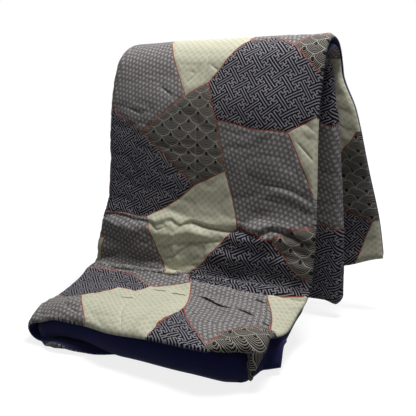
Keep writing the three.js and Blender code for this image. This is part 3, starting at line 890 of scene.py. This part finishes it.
def build_cloth():
    uv, faces, kind = pattern_side()
    back_uv, back_faces = triangulated(np.concatenate([border_points, lattice(BACKING_SPACING)]), [])
    place, normal = cloth.at(leaned(uv))
    front = place + normal * (half_thickness(uv) + relief(uv))[:, None]
    place, normal = cloth.at(back_uv)
    back = place - normal * half_thickness(back_uv)[:, None]
    count = len(border_points)
    # The hem's rounded rim, one row of points outside the border.
    place, normal = cloth.at(border_points)
    inner, _ = cloth.at(np.clip(border_points, RIM_OUT, [WIDTH - RIM_OUT, LENGTH - RIM_OUT]))
    outward = place - inner
    outward /= np.linalg.norm(outward, axis=1, keepdims=True)
    rim = place + outward * RIM_OUT
    verts = np.concatenate([front, back, rim])
    flat = np.concatenate([uv, back_uv, border_points])
    a, b = len(front), len(front) + len(back)
    k = np.arange(count)
    nxt = (k + 1) % count
    # The border runs anticlockwise in (u, v), and the patterned side's normal is dv x du, so faces turn over.
    tris = [faces[:, ::-1], back_faces + a]
    backing = KINDS.index("backing")
    kinds = [kind, np.full(len(back_faces), backing)]
    own = kind_at(np.clip(border_points, 0.002, [WIDTH - 0.002, LENGTH - 0.002]))
    for quad, kind_of in (((k, nxt, b + nxt, b + k), own), ((b + k, b + nxt, a + nxt, a + k), backing)):
        q = np.stack(quad, 1)
        tris += [q[:, [0, 1, 2]], q[:, [0, 2, 3]]]
        kinds += [np.zeros(count, int) + kind_of] * 2
    tris, kinds = np.concatenate(tris), np.concatenate(kinds)
    mesh = bpy.data.meshes.new("futon_cloth")
    mesh.from_pydata(verts.tolist(), [], tris.tolist())
    mesh.polygons.foreach_set("material_index", kinds.astype(np.int32))
    mesh.polygons.foreach_set("use_smooth", np.ones(len(tris), bool))
    layer = mesh.uv_layers.new(name="Flat")
    layer.data.foreach_set("uv", flat[tris.ravel()].astype(np.float32).ravel())
    mesh.update()
    return mesh


def add(name, data):
    made = bpy.data.objects.new(name, data)
    bpy.context.scene.collection.objects.link(made)
    return made


futon = add("futon_cloth", build_cloth())


# ---------------- materials
def binary(kind):
    return lambda self, other: self.op(kind, other)


class Num:
    """A number in a node tree, for patterns written as arithmetic."""

    def __init__(self, tree, value):
        self.tree, self.value = tree, value

    def op(self, kind, *others):
        node = self.tree.nodes.new("ShaderNodeMath")
        node.operation = kind
        for socket, term in zip(node.inputs, (self, *others)):
            value = term.value if isinstance(term, Num) else term
            if isinstance(value, (int, float)):
                socket.default_value = value
            else:
                self.tree.links.new(value, socket)
        return Num(self.tree, node.outputs[0])

    __add__ = __radd__ = binary("ADD")
    __mul__ = __rmul__ = binary("MULTIPLY")
    __sub__ = binary("SUBTRACT")
    __truediv__ = binary("DIVIDE")
    __lt__ = binary("LESS_THAN")
    __gt__ = binary("GREATER_THAN")
    least = binary("MINIMUM")
    most = binary("MAXIMUM")

    def __rsub__(self, other):
        return Num(self.tree, other) - self

    def __abs__(self):
        return self.op("ABSOLUTE")


class Surface:
    """A material with a principled shader."""

    def __init__(self, name, roughness):
        self.material = bpy.data.materials.new(name)
        self.material.use_nodes = True
        self.tree = self.material.node_tree
        self.shader = self.tree.nodes["Principled BSDF"]
        self.shader.inputs["Roughness"].default_value = roughness

    def node(self, kind, inputs=(), **settings):
        """A new node, with values or links for its inputs by name or number."""
        node = self.tree.nodes.new(kind)
        for key, value in settings.items():
            setattr(node, key, value)
        for key, value in dict(inputs).items():
            if isinstance(value, bpy.types.NodeSocket):
                self.tree.links.new(value, node.inputs[key])
            else:
                node.inputs[key].default_value = value
        return node

    def finish(self, colour, height, strength):
        """Links the colour, and the height of a weave or grain as a bump."""
        bump = self.node("ShaderNodeBump", {"Strength": strength, "Distance": BUMP, "Height": height})
        self.tree.links.new(colour, self.shader.inputs["Base Color"])
        self.tree.links.new(bump.outputs[0], self.shader.inputs["Normal"])
        return self.material


class Fabric(Surface):
    """A cloth material, with flat coordinates and colours mixed by masks."""

    def __init__(self, name, sheen=0.0):
        super().__init__(name, 0.92)
        self.shader.inputs["Sheen Weight"].default_value = sheen
        self.shader.inputs["Sheen Roughness"].default_value = 0.6
        self.shader.inputs["Specular IOR Level"].default_value = 0.15
        self.flat = self.node("ShaderNodeUVMap", uv_map="Flat").outputs[0]
        parts = self.node("ShaderNodeSeparateXYZ", {0: self.flat}).outputs
        # x to the right and y up, as the outer layer is seen from the front.
        self.x = Num(self.tree, parts[0]) * -1
        self.y = Num(self.tree, parts[1]) * SURFACE_SHARE

    def noise(self, scale, detail=2.0):
        inputs = {"Vector": self.flat, "Scale": scale, "Detail": detail}
        return Num(self.tree, self.node("ShaderNodeTexNoise", inputs).outputs[0])

    def mix(self, a, b, factor):
        """The cloth's colour from two, with its plain weave and slight unevenness over them."""
        inputs = {0: factor.value, 6: (*linear(a), 1), 7: (*linear(b), 1)}
        colour = self.node("ShaderNodeMix", inputs, data_type="RGBA").outputs[2]
        wave = 2 * math.pi / WEAVE
        weave = (self.x * wave).op("SINE") * (self.y * wave).op("SINE")
        tone = self.noise(9, 3) * 0.22 + self.noise(160) * 0.16 + weave * 0.05 + 0.81
        toned = self.node("ShaderNodeVectorMath", {0: colour, 3: tone.value}, operation="SCALE")
        return self.finish(toned.outputs[0], (weave * 0.5 + self.noise(420)).value, 0.5)


def linear(colour):
    """A colour written as it is seen, as the shader needs it."""
    return tuple(c / 12.92 if c <= 0.04045 else ((c + 0.055) / 1.055) ** 2.4 for c in colour)


WEAVE = 0.0012
BUMP = 0.0004
SURFACE_SHARE = 0.97  # length on the outer layer for each metre of v


def sayagata():
    """Interlocked key frets on a slanting square lattice, pale lines on a dark ground."""
    fabric = Fabric("cloth_sayagata")
    pitch, half, slide_a, slide_b = 0.0066, 0.18, 0.91, 1.05
    a = (fabric.x * 0.787 + fabric.y * 0.637) / pitch + slide_a
    b = (fabric.x * 0.506 - fabric.y * 0.877) / pitch + slide_b
    i, j = (a / 5).op("ROUND"), (b / 5).op("ROUND")
    p, q = a - i * 5, b - j * 5
    odd = ((i + j) / 2).op("FRACT") * 2
    turned = (p * q * (1 - 2 * odd)) < 0
    x = abs(p) + turned * (abs(q) - abs(p))
    y = abs(q) + turned * (abs(p) - abs(q))
    on_row = abs(y - y.op("ROUND")) < half
    light = abs(x - 2) < half
    light = light.most((x < 1 + half) * on_row * (y < 2 + half))
    light = light.most((abs(x - 1) < half) * (y > 1 - half) * (y < 2 + half))
    light = light.most((x < half) * (y < 1 + half))
    return fabric.mix((0.04, 0.045, 0.11), (0.55, 0.54, 0.55), light)


def asanoha():
    """Hemp leaves: a net of triangles, each divided from its middle to its corners."""
    fabric = Fabric("cloth_asanoha")
    height, angle = 0.0115, math.radians(15)
    shares = [
        (fabric.x * math.cos(direction) + fabric.y * math.sin(direction)) / height
        for direction in (angle, angle + 2 * math.pi / 3)
    ]
    a, b, c = (share.op("FRACT") for share in (*shares, (shares[0] + shares[1]) * -1))
    flip = (a + b + c) > 1.5
    a, b, c = abs(a - flip), abs(b - flip), abs(c - flip)
    low, high = a.least(b).least(c), a.most(b).most(c)
    mid = 1 - low - high
    lines = (low < 0.065).most((mid - low) < 0.075)
    return fabric.mix((0.04, 0.04, 0.055), (0.625, 0.61, 0.605), lines)


def seigaiha():
    """Waves: rows of overlapping discs of concentric rings, each with a dark drop in its middle."""
    fabric = Fabric("cloth_seigaiha")
    wide, rise, size = 0.054, 0.0198, 0.0275
    ring_step, ring_share, rim, core = 0.0041, 0.43, 0.0025, 0.0023
    top = ((fabric.y + size) / rise).op("FLOOR")
    for k in range(3):
        row = top - k
        across = ((fabric.x / wide + (row / 2).op("FRACT")).op("FRACT") - 0.5) * wide
        up = fabric.y - row * rise
        r = (across * across + up * up).op("SQRT")
        oval = (across * across + up * up * 0.25).op("SQRT")
        if k == 0:
            radius, drop, free = r, oval, r > size
        else:
            take = free * (r < size)
            radius, drop = radius + take * (r - radius), drop + take * (oval - drop)
            free = free - take
    ring = ((size - radius) / ring_step).op("FRACT") < ring_share
    outer = radius > size - rim
    light = ring * (outer * 0.35 + 0.65) * (drop > core)
    return fabric.mix((0.045, 0.045, 0.055), (0.66, 0.64, 0.60), light)


def cream():
    """Pale cotton with a faint grey hexagon at even places."""
    fabric = Fabric("cloth_cream")
    step = 0.020
    x, y = fabric.x / step, fabric.y / step
    best = None
    for shift in (0.0, 0.5):
        u = (x + shift).op("FRACT") - 0.5
        v = ((y / 0.866 + shift).op("FRACT") - 0.5) * 0.866
        r = abs(u).most(abs(u) * 0.5 + abs(v) * 0.866)
        best = r if best is None else best.least(r)
    mark = (best < 0.26) * 0.6 + (best < 0.14) * 0.4
    return fabric.mix((0.78, 0.775, 0.68), (0.64, 0.635, 0.60), mark * 0.55)


def plain(name, colour, other):
    fabric = Fabric(name, 0.05)
    return fabric.mix(colour, other, fabric.noise(30, 3))


# In the order of KINDS.
for made in (
    asanoha(),
    sayagata(),
    seigaiha(),
    cream(),
    plain("cloth_seam", (0.56, 0.26, 0.22), (0.64, 0.34, 0.28)),
    plain("cloth_navy", (0.085, 0.10, 0.25), (0.11, 0.125, 0.30)),
):
    futon.data.materials.append(made)


def wood():
    """Oiled wood, its long grain running along X."""
    wood = Surface("chair_wood", 0.5)
    place = wood.node("ShaderNodeNewGeometry").outputs["Position"]
    mapping = wood.node("ShaderNodeMapping", {0: place, "Scale": (2, 40, 14)}).outputs[0]
    inputs = {"Vector": mapping, "Scale": 3, "Detail": 5, "Distortion": 0.6}
    grain = wood.node("ShaderNodeTexNoise", inputs).outputs[0]
    ramp = wood.node("ShaderNodeValToRGB", {0: grain})
    stops = ((0.3, (0.36, 0.24, 0.15)), (0.72, (0.60, 0.44, 0.29)))
    for stop, (at, colour) in zip(ramp.color_ramp.elements, stops):
        stop.position, stop.color = at, (*linear(colour), 1)
    return wood.finish(ramp.outputs[0], grain, 0.25)


chair_wood = wood()
for name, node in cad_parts.items():
    if name != "futon":
        for slot in node.material_slots:
            slot.material = chair_wood

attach(futon, "root")
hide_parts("futon")


# ---------------- floor, light and camera
def seen(tree):
    """1 for the camera, reflections and clear materials, and 0 for the light that falls on things."""
    path = tree.nodes.new("ShaderNodeLightPath").outputs
    rays = [Num(tree, path[f"Is {kind} Ray"]) for kind in ("Camera", "Glossy", "Transmission")]
    return rays[0].most(rays[1]).most(rays[2])


scene = bpy.context.scene
REACH = 14
floor_mesh = bpy.data.meshes.new("floor")
square = [(-REACH, -REACH, 0), (REACH, -REACH, 0), (REACH, REACH, 0), (-REACH, REACH, 0)]
floor_mesh.from_pydata(square, [], [(0, 1, 2, 3)])
floor = add("floor", floor_mesh)
floor.location.z = -0.0005
paper = Surface("floor_paper", 0.9)
paper.shader.inputs["Base Color"].default_value = (0.22, 0.22, 0.22, 1)
# The floor's white grows with the distance from the object, so that the shadow stays and no horizon shows.
WHITE, FADE_FROM, FADE_OVER = 0.82, 0.7, 1.2
place = paper.node("ShaderNodeNewGeometry").outputs["Position"]
distance = paper.node("ShaderNodeVectorMath", {0: place}, operation="LENGTH").outputs["Value"]
far = ((Num(paper.tree, distance) - FADE_FROM) / FADE_OVER).most(0).least(1)
white = seen(paper.tree) * (far * (1 - WHITE) + WHITE)
glow = paper.node("ShaderNodeEmission", {"Strength": white.value}).outputs[0]
both = paper.node("ShaderNodeAddShader", {0: paper.shader.outputs[0], 1: glow}).outputs[0]
paper.tree.links.new(both, paper.tree.nodes["Material Output"].inputs["Surface"])
floor_mesh.materials.append(paper.material)

WORLD_LIGHT = 0.07
world = scene.world = bpy.data.worlds.new("studio")
world.use_nodes = True
background = world.node_tree.nodes["Background"].inputs
background["Color"].default_value = (1, 1, 1, 1)
strength = seen(world.node_tree) * (1 - WORLD_LIGHT) + WORLD_LIGHT
world.node_tree.links.new(strength.value, background["Strength"])


def lamp(name, place, target, size, power):
    data = bpy.data.lights.new(name, "AREA")
    data.shape, data.size, data.energy = "DISK", size, power
    made = add(name, data)
    made.location = place
    made.rotation_euler = (Vector(target) - Vector(place)).to_track_quat("-Z", "Y").to_euler()


lamp("overhead", (0.45, -0.06, 2.6), (0, -0.05, 0.3), 0.9, 70)
lamp("fill", (1.2, -2.6, 1.2), (0, 0, 0.35), 1.8, 2)
lamp("rear", (-0.6, 2.6, 1.3), (0, 0.2, 0.35), 1.8, 7)

camera = add("camera", bpy.data.cameras.new("camera"))
camera.data.sensor_width = 36
camera.data.lens = 52.18
yaw, pitch, roll = (math.radians(a) for a in (26.24, 8.811, 0.171))
right = Vector((math.cos(yaw), math.sin(yaw), 0))
ahead = Vector((-math.sin(yaw), math.cos(yaw), 0)) * math.cos(pitch) - Vector((0, 0, 1)) * math.sin(pitch)
up = right.cross(ahead)
right, up = right * math.cos(roll) + up * math.sin(roll), up * math.cos(roll) - right * math.sin(roll)
place = Vector((0.6975, -1.365, 0.5485))
camera.matrix_world = Matrix((*zip(right, up, -ahead, place), (0, 0, 0, 1)))
scene.camera = camera
scene.view_settings.view_transform = "Standard"
